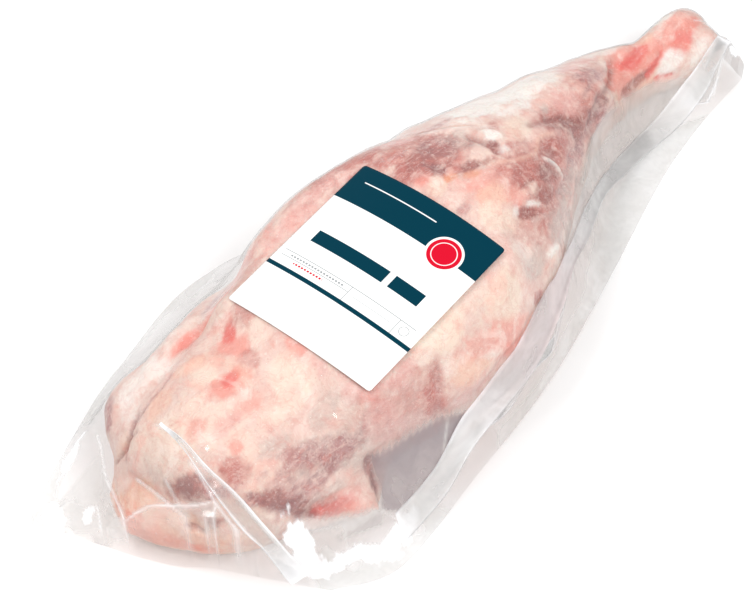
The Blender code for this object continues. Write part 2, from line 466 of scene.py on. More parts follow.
# patches of fat, muscle and blood, by the side they are marked from, painted in this order: middle,
# half width and half height in mm, turn in degrees, tone and strength
legPatches = {
    "lean meat under thin fat, from above": ("top", (
        (2, 27, 28, 22, 0, "rose", 0.85), (-28, 52, 38, 11, 4, "rose", 0.75),
        (-58, 48, 26, 8, 4, "pink", 0.6), (-95, 52, 22, 6, 8, "salmon", 0.35),
        (46, -9, 36, 14, 8, "rose", 0.75), (28, -28, 30, 8, 8, "rose", 0.5),
        (96, 10, 30, 9, 8, "rose", 0.7), (132, 27, 24, 10, 10, "rose", 0.5),
        (172, 26, 34, 14, 4, "salmon", 0.85), (205, 26, 18, 12, 10, "salmon", 0.6),
    )),
    "lean meat under thin fat, near side": ("near", (
        (60, 54, 46, 13, -10, "rose", 0.7), (112, 40, 24, 8, -15, "brown", 0.5),
        (60, 36, 50, 9, -8, "grey", 0.7), (-92, 44, 24, 15, 0, "rose", 0.5),
        (-160, 40, 22, 12, -32, "mauve", 0.6), (-140, 46, 22, 8, -12, "grey", 0.6),
    )),
    "round's near slope": ("top", (
        (16, -8, 16, 12, 0, "salmon", 0.4),
    )),
    "rump, from above": ("top", (
        (-166, 44, 16, 8, 0, "white", 0.7), (-190, 45, 4, 8, -35, "mauve", 0.6),
        (-184, 53, 4, 3, 0, "plum", 0.5), (-188, 6, 11, 24, 0, "cream", 0.5),
        (-176, 21, 9, 7, 0, "peach", 0.7), (-196, 27, 6, 4, 20, "peach", 0.6),
        (-155, 25, 9, 4, -12, "peach", 0.6), (-155, 13, 8, 7, 0, "cream", 0.8),
        (-151, 0, 13, 7, -8, "salmon", 0.8), (-148, 1, 5, 3.5, 25, "red", 0.75),
        (-152, -14, 9, 4, 10, "salmon", 0.45), (-133, 16, 9, 9, 30, "salmon", 0.8),
        (-130, 22, 5, 3.5, 40, "red", 0.75), (-134, 4, 5, 6, 0, "rose", 0.5),
        (-121, 24, 5, 9, -25, "rose", 0.65), (-128, 31, 7, 3, -30, "salmon", 0.5),
        (-138, 42, 15, 2.8, 3, "salmon", 0.95), (-140, 41.5, 9, 1.8, 0, "red", 0.6),
        (-122, 46, 8, 2.5, 20, "salmon", 0.8), (-100, 50, 16, 6, 8, "pink", 0.8),
        (-104, 42, 12, 4, 8, "rose", 0.4), (-117, -10, 4.5, 11, 0, "salmon", 0.7),
        (-117, -24, 4, 6, 0, "pink", 0.6), (-128, -14, 9, 12, 10, "cream", 0.7),
        (-140, -26, 14, 6, 0, "cream", 0.6), (-176, -6, 6, 5, 0, "salmon", 0.5),
        (-166, -15, 8, 4, 0, "pink", 0.6), (-170, -26, 3, 3, 0, "salmon", 0.7),
        (-178, -32, 5, 5, 20, "rose", 0.8), (-158, -36, 9, 4, 0, "grey", 0.5),
        (-130, -38, 10, 5, 0, "grey", 0.45), (-154, -44, 6, 4, 20, "rose", 0.5),
        (-146, -46, 16, 5, -8, "mauve", 0.45), (-136, -51, 14, 4, -12, "mauve", 0.5),
        (-126, -56, 9, 3, -10, "grey", 0.6),
    )),
    "rump's end": ("end", (
        (-20, 47, 9, 6, -20, "plum", 0.8), (-13, 42, 6, 5, 0, "brown", 0.6),
        (-32, 50, 7, 3, -25, "mauve", 0.7), (-2, 42, 10, 4, 0, "grey", 0.35),
        (6, 26, 8, 6, 30, "orange", 0.6), (5, 33, 6, 2.5, 0, "orange", 0.6),
        (14, 12, 9, 6, 0, "orange", 0.6), (-34, 22, 5, 5, 0, "orange", 0.8),
        (-12, 20, 34, 16, 0, "peach", 0.9), (-10, 14, 28, 9, 0, "salmon", 0.8),
        (-24, 23, 13, 6, -5, "peach", 0.9), (-22, 14, 12, 5, 0, "salmon", 0.8),
        (-34, 36, 4, 5, 0, "brown", 0.7), (0, 15, 12, 6, 0, "salmon", 0.7),
        (-8, 12, 30, 12, 0, "orange", 0.35), (45, 32, 7, 5, 0, "mauve", 0.5),
        (36, 42, 6, 5, 0, "white", 0.5),
    )),
    "flap and near side": ("near", (
        (-171, 44, 12, 6, -36, "brown", 0.7), (-162, 36, 9, 6, -36, "plum", 0.7),
        (-155, 29, 10, 6, -32, "brown", 0.75), (-178, 47, 5, 5, -30, "mauve", 0.7),
        (-176, 56, 6, 3, 25, "rose", 0.6), (-142, 23, 11, 5, -16, "red", 0.6),
        (-133, 17, 9, 4, -16, "salmon", 0.7), (-153, 27, 3, 4, 0, "red", 0.7),
        (-138, 46, 16, 5, -14, "mauve", 0.5), (-148, 40, 10, 4, -10, "mauve", 0.5),
        # the plum and brown spots at -121 and -117 are painted shade in the notch
        (-143, 32, 14, 4, -5, "grey", 0.6), (-121, 24, 3, 9, 0, "plum", 0.8),
        (-117, 30, 3, 4, 0, "brown", 0.8), (-108, 42, 9, 8, 0, "pink", 0.6),
        (-112, 56, 7, 9, 20, "pink", 0.6), (-98, 58, 12, 8, 0, "pink", 0.6),
        (-84, 44, 7, 8, 0, "rose", 0.85), (-77, 55, 4, 8, -15, "rose", 0.6),
        (-66, 67, 18, 5, 3, "cream", 0.9), (-60, 49, 13, 8, -25, "peach", 0.8),
        (-50, 58, 14, 5, 0, "salmon", 0.45), (-34, 52, 12, 9, -30, "salmon", 0.6),
        (-32, 44, 9, 5, -20, "salmon", 0.8), (-60, 36, 12, 7, 0, "pink", 0.7),
        (-24, 65, 14, 7, 0, "cream", 0.8), (-3, 48, 6, 3.5, -20, "rose", 0.9),
        (2, 59, 12, 5, -15, "grey", 0.6), (18, 54, 6, 2, -15, "white", 0.9),
        (40, 52, 18, 7, -15, "grey", 0.7), (64, 50, 16, 6, -15, "grey", 0.7),
        (84, 46, 12, 4, -18, "mauve", 0.6), (119, 43, 12, 4, -8, "plum", 0.8),
        (126, 36, 13, 5, -12, "mauve", 0.7), (148, 31, 16, 4, -14, "peach", 0.8),
        (168, 22, 26, 8, -6, "peach", 0.8), (176, 26, 10, 3, -10, "cream", 0.7),
        (186, 18, 9, 3, 0, "salmon", 0.7), (181, 21, 6, 2, 0, "red", 0.8),
        (208, 22, 12, 7, 0, "white", 0.6),
    )),
    "round, from above": ("top", (
        (-9, 42, 14, 14, 0, "rose", 0.6), (-9, 24, 8, 10, 0, "rose", 0.95),
        (-12, 14, 5, 4, 0, "salmon", 0.7), (-1, 15, 4, 5, 0, "plum", 0.8),
        (10, 26, 14, 11, 0, "mauve", 0.85), (24, 22, 10, 9, 0, "grey", 0.6),
        (4, 25, 18, 12, 0, "brown", 0.55), (14, 5, 6, 3.5, -15, "brown", 0.9),
        (21, 2, 6, 2, -15, "brown", 0.6), (3, 46, 8, 8, 0, "pink", 0.7), (30, 41, 12, 3, 5, "mauve", 0.6),
        (36, 33, 7, 6, 0, "peach", 0.8), (-1, 6, 4.5, 3, 0, "orange", 0.95),
        (9, 0, 6, 3, -15, "orange", 0.6), (-9, 7, 6, 5, 0, "cream", 0.7), (6, -6, 9, 5, 0, "salmon", 0.6),
        (8, -15, 12, 8, 0, "peach", 0.8), (0, -25, 12, 8, 0, "cream", 0.8),
        (-10, -12, 4, 3, 0, "mauve", 0.6), (20, -20, 8, 6, 0, "salmon", 0.6),
        (34, -4, 14, 3, -5, "rose", 0.7), (34, -12, 13, 9, 0, "rose", 0.95),
        (38, -14, 20, 10, 5, "brown", 0.2), (50, -14, 11, 5, 10, "brown", 0.75),
        (36, -23, 14, 4, 6, "brown", 0.6), (18, -29, 7, 3, -12, "brown", 1.0),
        (24, -26, 5, 1.8, -10, "white", 0.85), (12, -26, 4, 1.6, 30, "white", 0.7),
        (33, 8, 3.5, 6, -25, "brown", 1.0), (38, 15, 4.5, 3.5, 0, "white", 1.0),
        (36, 4, 5, 2.5, 20, "white", 0.8), (46, 20, 6, 3, 40, "rose", 0.8), (43, 5, 4, 3.5, 0, "rose", 0.8),
        (51, 31, 5, 4, 0, "pink", 0.9), (56, 13, 10, 8, 0, "cream", 0.7), (66, -1, 11, 6, -5, "rose", 1.0),
        (60, -5, 6, 3, 0, "brown", 0.6), (88, 15, 12, 4, 5, "rose", 0.6),
        (86, 8, 14, 4.5, -3, "brown", 1.0), (93, 3, 10, 4, 15, "brown", 0.85),
    )),
    "shank's fat and the hock": ("top", (
        (62, 38, 32, 13, -4, "white", 1.0), (96, 40, 24, 10, -8, "white", 0.95),
        (72, 26, 16, 5, 0, "white", 0.8), (84, 18, 5, 2, 40, "grey", 0.7), (100, 17, 12, 7, 0, "pink", 0.7),
        (118, 20, 10, 5, -10, "rose", 0.5), (130, 27, 13, 6, 15, "mauve", 0.75),
        (126, 37, 12, 6, 0, "pink", 0.8), (142, 40, 14, 5, -10, "pink", 0.6),
        (150, 21, 14, 7, 15, "salmon", 0.8), (170, 23, 20, 7, 3, "salmon", 0.8),
        (173, 27, 15, 5, 5, "red", 0.85), (160, 17, 14, 2, 5, "brown", 0.6), (180, 19, 9, 2, 5, "red", 0.8),
        (160, 40, 16, 4, -10, "white", 0.7), (189, 14.5, 10, 5, -8, "white", 1.0),
        (188, 32, 8, 5, 0, "peach", 0.7), (203, 18, 9, 6, 20, "red", 0.6),
        (213, 23, 11, 4, 8, "salmon", 0.9), (208, 36, 13, 5, 0, "white", 0.9),
        (212, 9, 13, 4, 0, "white", 0.6),
    )),
    "far side": ("far", (
        (-130, 36, 20, 8, 0, "salmon", 0.5), (-60, 50, 26, 12, 0, "pink", 0.7),
        (-90, 20, 24, 8, 5, "white", 0.7), (-20, 40, 18, 8, 10, "rose", 0.6),
        (0, 18, 20, 7, -8, "peach", 0.7), (40, 44, 22, 9, -10, "white", 0.8),
        (60, 22, 16, 6, 0, "mauve", 0.5), (90, 36, 16, 8, 0, "pink", 0.6),
        (150, 26, 20, 6, -5, "salmon", 0.7), (200, 20, 14, 7, 0, "fat", 0.7),
    )),
}


def sectionPoint(section, angle):
    # a point of a cross-section: angle 0 is its left side, and 90 degrees its top
    x, middle, halfWidth, height = section
    rise = math.sin(angle)
    widest = legShape["widestAt"] * height
    if rise > 0:
        z = widest + (height - widest) * rise
    else:
        z = widest - widest * abs(rise) ** legShape["underside"]
    return Vector((x, middle + halfWidth * math.cos(angle), z)) * mm


def makeLeg():
    bm = bmesh.new()
    rings = []
    count = legShape["points"]
    for section in legShape["sections"]:
        ring = bmesh.ops.create_circle(bm, segments=count, radius=1)["verts"]
        for k, vert in enumerate(ring):
            vert.co = sectionPoint(section, 2 * math.pi * k / count)
        rings.append(ring)
    for ring, following in zip(rings, rings[1:]):
        edges = [e for e in bm.edges if all(v in ring or v in following for v in e.verts)]
        bmesh.ops.bridge_loops(bm, edges=edges)
    for ring in (rings[0], rings[-1]):
        bmesh.ops.contextual_create(bm, geom=ring)
    for centre, radii, turn in legShape["lobes"].values():
        place = Matrix.Translation(Vector(centre) * mm)
        place @= Matrix.Rotation(math.radians(turn), 4, "Z")
        place @= Matrix.Diagonal((*(Vector(radii) * mm), 1))
        bmesh.ops.create_uvsphere(bm, u_segments=20, v_segments=12, radius=1, matrix=place)
    bmesh.ops.recalc_face_normals(bm, faces=bm.faces)
    leg = addPiece("leg_of_lamb", bm)
    grown = leg.modifiers.new("grown together", "REMESH")
    grown.mode = "VOXEL"
    grown.voxel_size = legShape["voxel"] * mm
    leg.modifiers.new("smooth", "SMOOTH").iterations = legShape["smoothing"]
    finer = leg.modifiers.new("finer", "SUBSURF")
    finer.levels = finer.render_levels = legShape["finer"]
    applyModifiers(leg)
    return leg


def spotOn(tree, view, point):
    # the point of the leg's surface that is seen at point from one side
    right, up, towards = (Vector(axis) for axis in legViews[view])
    start = (right * point[0] + up * point[1]) * mm + towards
    hit = tree.ray_cast(start, -towards)[0]
    return hit or (start - towards)


def routeOn(tree, view, points, step=2.5):
    # a smooth line over the leg through the points, with a point every few mm
    length = sum((Vector(b) - Vector(a)).length for a, b in zip(points, points[1:]))
    route = splineRoute(points, max(int(length / step), 3))
    return np.array([tuple(spotOn(tree, view, point)) for point in route])


def allMarks(groups):
    return [(view, *mark) for view, marks in groups.values() for mark in marks]


def sculptLeg(leg):
    # lumps, seams and tendons are moved out of the smooth leg, and its tones painted on it
    tree = surfaceOf(leg)
    places = readVectors(leg.data, "co")
    normals = readVectors(leg.data, "normal")
    uneven = legShape["unevenness"]
    ragged = noiseOver(places * (0.7, 1, 1), uneven["ragged"][0] * mm, 1, 3)
    fine = noiseOver(places, uneven["fine"][0] * mm, 2, 2)
    lumps = noiseOver(places, uneven["lumps"][0] * mm, 3)
    broad = noiseOver(places, legShape["fatChange"] * mm, 4, 2)
    linear = {name: np.array(rgb(*tone)[:3]) * legShape["albedo"] for name, (tone, _) in tones.items()}

    # fat over the whole leg, with pinker and yellower stretches
    colour = np.tile(linear["fat"], (len(places), 1))
    pinker = smoothStep(broad + 0.5 * ragged, 0.1, 0.9)[:, None]
    colour += (linear["salmon"] - colour) * pinker * 0.25
    warmer = smoothStep(-broad + 0.6 * fine, 0.1, 0.9)[:, None]
    colour += (linear["cream"] - colour) * warmer * 0.5
    grain = 0.1 * pinker[:, 0]

    for view, x, y, halfWidth, halfHeight, turn, tone, strength in allMarks(legPatches):
        right, up, towards = (np.array(axis, float) for axis in legViews[view])
        offset = (places - np.array(spotOn(tree, view, (x, y)))) / mm
        across, upwards = turned(offset @ right, offset @ up, turn)
        deep = offset @ towards / (max(halfWidth, halfHeight) + legShape["patchDepth"])
        gap = np.sqrt((across / halfWidth) ** 2 + (upwards / halfHeight) ** 2 + deep**2)
        gap += 0.5 * ragged + 0.25 * fine
        facing = smoothStep(normals @ towards, 0.0, 0.35)
        share = (1 - smoothStep(gap, 0.6, 1.2)) * strength * facing
        colour += (linear[tone] - colour) * share[:, None]
        grain += (tones[tone][1] - grain) * share

    card, outside = cardHeight(places[:, 0], places[:, 1])
    onTop = smoothStep(places[:, 2] / mm, 32, 48) * (normals[:, 2] > 0)
    press = (1 - smoothStep(outside, 0, labelShape["pressFade"])) * onTop
    lift = uneven["lumps"][1] * lumps + uneven["ragged"][1] * ragged + uneven["fine"][1] * fine
    lift *= 1 - 0.8 * press
    for view, points, width, depth, tone, strength in allMarks(legStrokes):
        route = routeOn(tree, view, points)
        gap, along = distanceTo(route, places, 4 * width * mm)
        gap = gap / mm * (1 + 0.3 * ragged)
        ends = smoothStep(along, -0.02, 0.18) * (1 - smoothStep(along, 0.82, 1.02))
        lift -= depth * np.exp(-((gap / width) ** 2)) * ends
        if tone:
            share = np.exp(-((gap / (0.8 * width)) ** 2)) * ends * strength
            colour += (linear[tone] - colour) * share[:, None]
            grain += (tones[tone][1] - grain) * share

    places += normals * lift[:, None] * mm
    places[:, 2] += (card - places[:, 2]) * press * legShape["pressed"]
    places[:, 2] = np.maximum(places[:, 2], flatBase + legShape["standsAt"] * mm)
    leg.data.vertices.foreach_set("co", places.astype(np.float32).ravel())
    leg.data.update()
    opaque = np.c_[colour, np.ones(len(colour))]
    for name, kind, field, values in (
        ("tone", "FLOAT_COLOR", "color", opaque),
        ("grain", "FLOAT", "value", grain),
    ):
        layer = leg.data.attributes.new(name, kind, "POINT")
        layer.data.foreach_set(field, values.astype(np.float32).ravel())


def meatFinish():
    paint = Paint("raw lamb")
    grain = paint.attribute("grain")
    along = paint.place(stretch=(0.2, 1, 0.8), turn=-12)
    wash = paint.noise(24 * mm, warp=1.4)
    mottle = paint.noise(8 * mm, detail=5, warp=0.6)
    flecks = paint.noise(1.7 * mm, detail=3, roughness=0.7)
    fibres = paint.noise(2.3 * mm, along, roughness=0.65, warp=0.5)
    veins = paint.noise(10 * mm, warp=1.2).ridge()
    seams = paint.noise(7 * mm, roughness=0.55, warp=0.8).ridge()
    blotches = paint.noise(5 * mm, warp=0.8)
    fatty = 1 - abs(grain) * 1.6

    layers = (
        # the fat is pinker where it thins and paler where it is thick
        (wash.step(0.52, 0.68) * fatty * 0.35, (241, 172, 158)),
        (wash.step(0.48, 0.34) * fatty * 0.45, (252, 240, 231)),
        (mottle.step(0.5, 0.7) * (grain * 0.4 + 0.24), (215, 136, 125)),
        (mottle.step(0.5, 0.3) * (grain * 0.2 + 0.3), (250, 232, 220)),
        (veins.step(0.92, 1.0) * 0.15, (206, 112, 98)),
        # lean meat breaks up into paler and darker blotches
        (blotches.step(0.54, 0.66) * grain * 0.55, (246, 216, 203)),
        (blotches.step(0.46, 0.34) * grain * 0.45, (152, 88, 84)),
        # with pale threads of fat along its grain, and darker ones between them
        (fibres.step(0.52, 0.64) * grain * 0.5, (240, 214, 206)),
        (fibres.step(0.46, 0.32) * grain * 0.35, (150, 90, 88)),
        # thin seams of white tissue
        (seams.step(0.95, 1.0) * grain * 0.35, (252, 230, 220)),
        # flecks of frost with painted glints on them, and small pits
        (flecks.step(0.58, 0.7) * (grain * 0.1 + 0.35), (250, 240, 233)),
        (flecks.step(0.4, 0.28) * (grain * 0.2 + 0.25), (196, 118, 106)),
    )
    height = mottle * 0.6 + flecks * 0.3 + fibres * (grain * 0.6 + 0.2)
    surface = {
        "Base Color": paint.layers(paint.attribute("tone", "Color"), layers),
        "Roughness": mottle * 0.2 + 0.34,
        "Normal": paint.bump(height, 1.3 * mm, 0.9),
        "Subsurface Weight": 0.12,
        "Subsurface Radius": (1.0, 0.35, 0.25),
        "Subsurface Scale": 3 * mm,
        "Specular IOR Level": 0.35,
    }
    return paint.finish(paint.surface(surface))


# ---- the bag's film ----

bagShape = {
    # the two long edges on the table, from the near end to the far end, in mm
    "rightEdge": (
        (-167, -81), (-136, -95), (-78, -86), (-8, -73), (60, -52), (136, -26), (187, -14), (231, -8),
    ),
    "leftEdge": (
        (-242, 44), (-200, 66), (-145, 86), (-60, 95.1), (60, 88), (150, 70), (215, 52), (242, 30),
    ),
    # the near end, drawn in close under the rump, from the right edge to the left
    "nearEnd": ((-167, -81), (-181, -60), (-194, -40), (-209, -20.5), (-220, -1), (-231, 22), (-242, 44)),
    "nearEndFade": 12,
    "gap": 0.35,  # between the meat and the film
    "skirt": 1.2,  # height of the upper sheet over the table at the edge
    "lowerSheet": 0.25,
    # grid rows and columns, relaxing passes and how far the vacuum pulls in each pass
    "passes": ((88, 38, 240, 0.5), (176, 76, 160, 0.13), (352, 152, 120, 0.035)),
    "rasterStep": 0.8,
    "rimLift": 1.6,  # how far the loose rim waves up
    "farRimLift": (-105, 52, 9),  # middle, half length and height of the stretch that stands off the table
    "veil": {"clinging": 0.03, "free": 0.12, "doubled": 0.42},  # how milky it is
    "unevenness": {"billows": (30, 2.2), "creases": (11, 1.3), "cling": (5, 0.3)},  # sizes and heights
    "foldReach": 25,  # how far a fold lifts the film on both sides
    # the white line along a fold is a painted glint
    "foldGlintLine": 0.9,  # half width of the white line along a fold
    "facetFade": 1.3,
    "wall": 0.9,  # height of the upright wall at the rim
    "band": {"rows": 160, "columns": 12, "passes": 90, "thickness": 0.2},
}

# tension folds that stand out of the film: points in mm, how steeply the film falls beside them,
# and how white the film turns along them, a painted glint along the fold
filmFolds = {
    "rump ridge": (
        (
            (-185, 15, 54), (-184, 3, 59), (-185, -8, 62), (-186, -24, 60), (-183, -39, 51),
            (-180, -51, 37), (-177, -59, 25), (-175, -67, 14), (-172, -74, 4),
        ),
        1.0, 0.7,
    ),
    "second ridge": (
        (
            (-188, -12, 59), (-189, -21, 58), (-190, -28, 54), (-191, -35, 49), (-190, -42, 41),
            (-187, -46, 32), (-184, -52, 18), (-181, -59, 5),
        ),
        1.1, 0.6,
    ),
    "short ridge": (((-198, -8, 49), (-200, -15, 48), (-201, -21, 46), (-199, -28, 46)), 1.2, 0.4),
    "long brace": (((-204, 7, 39), (-204, -9, 43), (-202, -25, 41), (-195, -35, 28)), 1.2, 0.6),
    "cross brace": (((-217, 1, 23), (-209, -10, 39), (-199, -26, 46), (-190, -34, 49)), 1.2, 0.7),
    "upright": (((-190, -34, 49), (-194, -36, 39), (-194, -38, 26)), 1.2, 0.7),
    "facet": (((-198, -30, 36), (-193, -36, 46)), 1.2, 0.6),
    "corner facet": (((-194, -38, 25), (-191, -40, 29), (-188, -45, 34)), 1.2, 0.5),
    "corner brace": (((-188, -45, 34), (-186, -50, 18), (-184, -56, 6)), 1.2, 0.4),
    "rim edge": (
        ((-193, 51, 20), (-202, 34, 28), (-209, 22, 27), (-213, 10, 26), (-216, 2, 24), (-218, -3, 12)),
        1.1, 0.7,
    ),
    "left glint": (((-217, 21, 16), (-222, 13, 15), (-224, 9, 6)), 1.0, 0.8),
    "left corner fold": (((-206, 32, 22), (-220, 34, 11), (-236, 40, 3)), 0.9, 0.3),
    "far side fold": (((-120, 58, 40), (-132, 70, 20), (-146, 80, 5)), 0.8, 0.2),
    "far side fold two": (((-60, 66, 50), (-70, 80, 22), (-80, 92, 4)), 0.8, 0.2),
    "far side fold three": (((20, 56, 44), (24, 72, 18), (26, 86, 3)), 0.8, 0.2),
    "flap fold": (((-142, -65, 18), (-147, -70, 10), (-151, -78, 4)), 0.9, 0.4),
    "corner fold": (((-127, -72, 14), (-122, -80, 9), (-116, -88, 3)), 0.9, 0.4),
    "notch fold": (((-78, -68, 36), (-84, -72, 24), (-92, -78, 12)), 0.9, 0.3),
    "hock line": (((222, 8, 28), (210, 4, 22), (196, 2, 16), (180, 0, 8)), 0.9, 0.6),
    "hock line two": (((228, 10, 24), (216, 0, 14), (202, -8, 4)), 0.9, 0.6),
    "hock end": (((226, 22, 26), (236, 16, 16), (240, 6, 6)), 0.9, 0.5),
    "hock end two": (((224, 30, 22), (236, 32, 10), (241, 30, 3)), 0.9, 0.4),
}

# flat facets between the folds: corners in mm, how milky they are and how white (below 0 greyer); the
# whitest are painted glare and the greyest painted shade
filmFacets = (
    # the clear stretch in front of the rump
    (
        (
            (-216, 20, 18), (-205, -20, 24), (-196, -38, 20), (-190, -44, 4), (-206, -30, -2),
            (-222, -6, -2), (-232, 18, -2),
        ),
        0.06, 0,
    ),
    # painted shade over the grey hollow beside the shank
    (
        (
            (200, 5, 12), (170, 2, 12), (150, 1, 12), (119, -6, 13), (95, -15, 15), (84, -10, 26),
            (110, 6, 26), (130, 14, 24), (152, 18, 20), (178, 16, 16),
        ),
        0.5, -0.15,
    ),
    # the facets over the rump's near corner and its left side: the white ones are painted glare, the grey
    # ones painted shade
    (
        (
            (-218, 0, 25), (-209, -12, 40), (-198, -27, 47), (-202, -25, 37), (-212, -12, 30),
            (-218, -2, 15),
        ),
        0.35, 0.2,
    ),
    (((-198, -27, 47), (-191, -35, 49), (-194, -36, 40), (-199, -29, 45)), 0.45, -0.4),
    (((-202, -25, 40), (-195, -34, 30), (-195, -35, 25), (-201, -27, 33)), 0.5, 0.3),
    (((-194, -36, 20), (-188, -45, 33), (-192, -38, 26)), 0.95, 1),
    (((-193, -37, 19), (-188, -46, 33), (-183, -55, 17), (-185, -52, 2)), 0.5, -0.3),
    (((-226, 15, 7), (-220, 11, 20), (-222, 7, 12)), 0.95, 1),
    (((-220, 8, 20), (-217, 1, 25), (-218, -2, 16), (-222, 6, 13)), 0.5, 0.1),
    (((-227, 16, 6), (-219, -1, 12), (-217, -4, 7), (-226, 12, 0)), 0.5, -0.4),
    (((-230, 40, 3), (-205, 33, 28), (-217, 8, 24), (-222, 10, 12), (-229, 22, 3)), 0.4, -0.2),
    # painted shade over the hollow between the flap and the round
    (
        (
            (-119, -60, 35), (-108, -63, 36), (-96, -65, 37), (-81, -67, 36), (-67, -72, 31),
            (-79, -74, 25), (-96, -76, 15), (-118, -76, 10), (-125, -73, 13), (-120, -67, 19),
        ),
        0.68, -0.95,
    ),
    # painted shade on the wedge beside the flap's corner, and the strip below the flap
    (((-126, -73, 13), (-143, -69, 13), (-149, -68, 10), (-130, -75, 9)), 0.55, -0.5),
    (((-163, -56, 28), (-143, -65, 17), (-128, -71, 14), (-142, -69, 13), (-163, -59, 23)), 0.4, 0.3),
)
# the facets and folds are marked on the film from its near right corner
towardsCorner = Vector((-0.445, -0.445, 0.777))

# where the loose film catches the light and turns white: middle, half sizes, turn
filmGlare = (
    ((-166, -66), (7, 12), 20),
    ((-152, -76), (16, 4), -12),
    ((-136, -84), (14, 5), -4),
    ((-118, -83), (10, 4), 8),
    ((-232, 38), (5, 12), -30),
    ((-223, 20), (3, 5), -30),
    ((-206, 56), (14, 3), 22),
    ((231, 0), (5, 4), 0),
)


def bagPoint(along, across):
    # a point of the bag's plan: along from the near end, across from the right edge
    point = splinePoint(bagShape["rightEdge"], along).lerp(splinePoint(bagShape["leftEdge"], along), across)
    nearEnd = bagShape["nearEnd"]
    drawnIn = splinePoint(nearEnd, across) - Vector(nearEnd[0]).lerp(Vector(nearEnd[-1]), across)
    return (point + drawnIn * (1 - along) ** bagShape["nearEndFade"]).to_3d() * mm


def foldRoute(points):
    route = splineRoute(points, 12 * (len(points) - 1))
    return np.array([tuple(point) for point in route]) * mm


def heightField(tree):
    # the heights that the film rests on, over a fine grid of the table
    step = bagShape["rasterStep"] * mm
    low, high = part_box("bag")
    xs = np.arange(low.x - 2 * step, high.x + 3 * step, step)
    ys = np.arange(low.y - 2 * step, high.y + 3 * step, step)
    down = Vector((0, 0, -1))
    field = np.zeros((len(xs), len(ys)))
    for i, x in enumerate(xs):
        for j, y in enumerate(ys):
            hit = tree.ray_cast(Vector((x, y, 1)), down)[0]
            if hit:
                field[i, j] = hit.z + bagShape["gap"] * mm
    # widened by a cell, so that the film clears the meat's steep sides, and then evened out
    field = np.mean(aroundEach(np.max(aroundEach(field), axis=0)), axis=0)
    spots = np.stack(np.meshgrid(xs, ys, indexing="ij"), -1).reshape(-1, 2)
    reach = bagShape["foldReach"] * mm
    for points, fall, _ in filmFolds.values():
        route = foldRoute(points)
        gap, along = distanceTo(route[:, :2], spots, reach)
        ridge = np.interp(along, np.linspace(0, 1, len(route)), route[:, 2]) - fall * gap
        field = np.maximum(field, np.where(gap < reach, ridge, 0).reshape(field.shape))
    return field, xs[0], ys[0], step


def sampleField(field, x, y):
    heights, left, bottom, step = field
    return between(heights, (x - left) / step, (y - bottom) / step)


def drape(field):
    # the upper sheet: a stretched skin relaxed over the leg, coarse first and then finer
    sheet = None
    rim = flatBase + bagShape["skirt"] * mm
    for rows, columns, passes, pull in bagShape["passes"]:
        plan = np.array(
            [[tuple(bagPoint(i / rows, j / columns)) for j in range(columns + 1)] for i in range(rows + 1)]
        )
        if sheet is None:
            finer = plan.copy()
        else:
            i = np.linspace(0, sheet.shape[0] - 1, rows + 1)[:, None]
            j = np.linspace(0, sheet.shape[1] - 1, columns + 1)[None]
            finer = np.stack([between(sheet[..., k], i, j) for k in range(3)], -1)
        edge = np.ones(finer.shape[:2], bool)
        edge[1:-1, 1:-1] = False
        finer[edge] = plan[edge]
        finer[edge, 2] = rim
        middle, half, high = bagShape["farRimLift"]
        bulge = np.clip(1 - ((plan[:, -1, 0] / mm - middle) / half) ** 2, 0, 1) ** 2
        finer[:, -1, 2] = rim + high * mm * bulge
        sheet = finer
        for _ in range(passes):
            around = (sheet[:-2, 1:-1] + sheet[2:, 1:-1] + sheet[1:-1, :-2] + sheet[1:-1, 2:]) / 4
            around[..., 2] -= pull * mm
            rests = sampleField(field, around[..., 0], around[..., 1])
            around[..., 2] = np.maximum(around[..., 2], np.maximum(rests, rim))
            sheet[1:-1, 1:-1] = around
    return sheet


def wrinkleFilm(sheet, field):
    # soft billows and fine creases where the film hangs free, a little unrest where it clings
    rows, columns = sheet.shape[0] - 1, sheet.shape[1] - 1
    rests = sampleField(field, sheet[..., 0], sheet[..., 1])
    free = smoothStep((sheet[..., 2] - rests) / mm, 0.4, 4.0)
    spots = sheet.reshape(-1, 3) * (1, 1, 0.3)
    uneven = bagShape["unevenness"]
    billows = noiseOver(spots, uneven["billows"][0] * mm, 11, 2)
    creases = noiseOver(spots * (1, 0.45, 1), uneven["creases"][0] * mm, 12, 3)
    cling = noiseOver(spots, uneven["cling"][0] * mm, 13, 2)
    billows, creases, cling = (wave.reshape(free.shape) for wave in (billows, creases, cling))
    endings = smoothStep(sheet[..., 0] / mm, 196, 226)
    lift = uneven["billows"][1] * billows + uneven["creases"][1] * (0.3 - np.abs(creases))
    lift *= free * (1 + 1.2 * endings)
    lift += uneven["cling"][1] * (0.25 - np.abs(cling)) * (1 - free)
    card, outside = cardHeight(sheet[..., 0], sheet[..., 1])
    lift *= smoothStep(outside, 0, 8)
    sheet[1:-1, 1:-1, 2] += lift[1:-1, 1:-1] * mm

    # the loose rim waves a little over the table
    i, j = np.indices(free.shape)
    rim = np.minimum.reduce((i, j, rows - i, columns - j))
    waves = noiseOver(spots, 26 * mm, 14, 2).reshape(free.shape)
    sheet[..., 2] += bagShape["rimLift"] * mm * np.maximum(waves + 0.1, 0) * (1 - smoothStep(rim, 2, 16))
    sheet[..., 2] = np.maximum(sheet[..., 2], flatBase + 0.6 * mm)
    bare = np.mean(aroundEach((rests < 1 * mm).astype(float)), axis=0)
    return filmLook(sheet, free, bare)


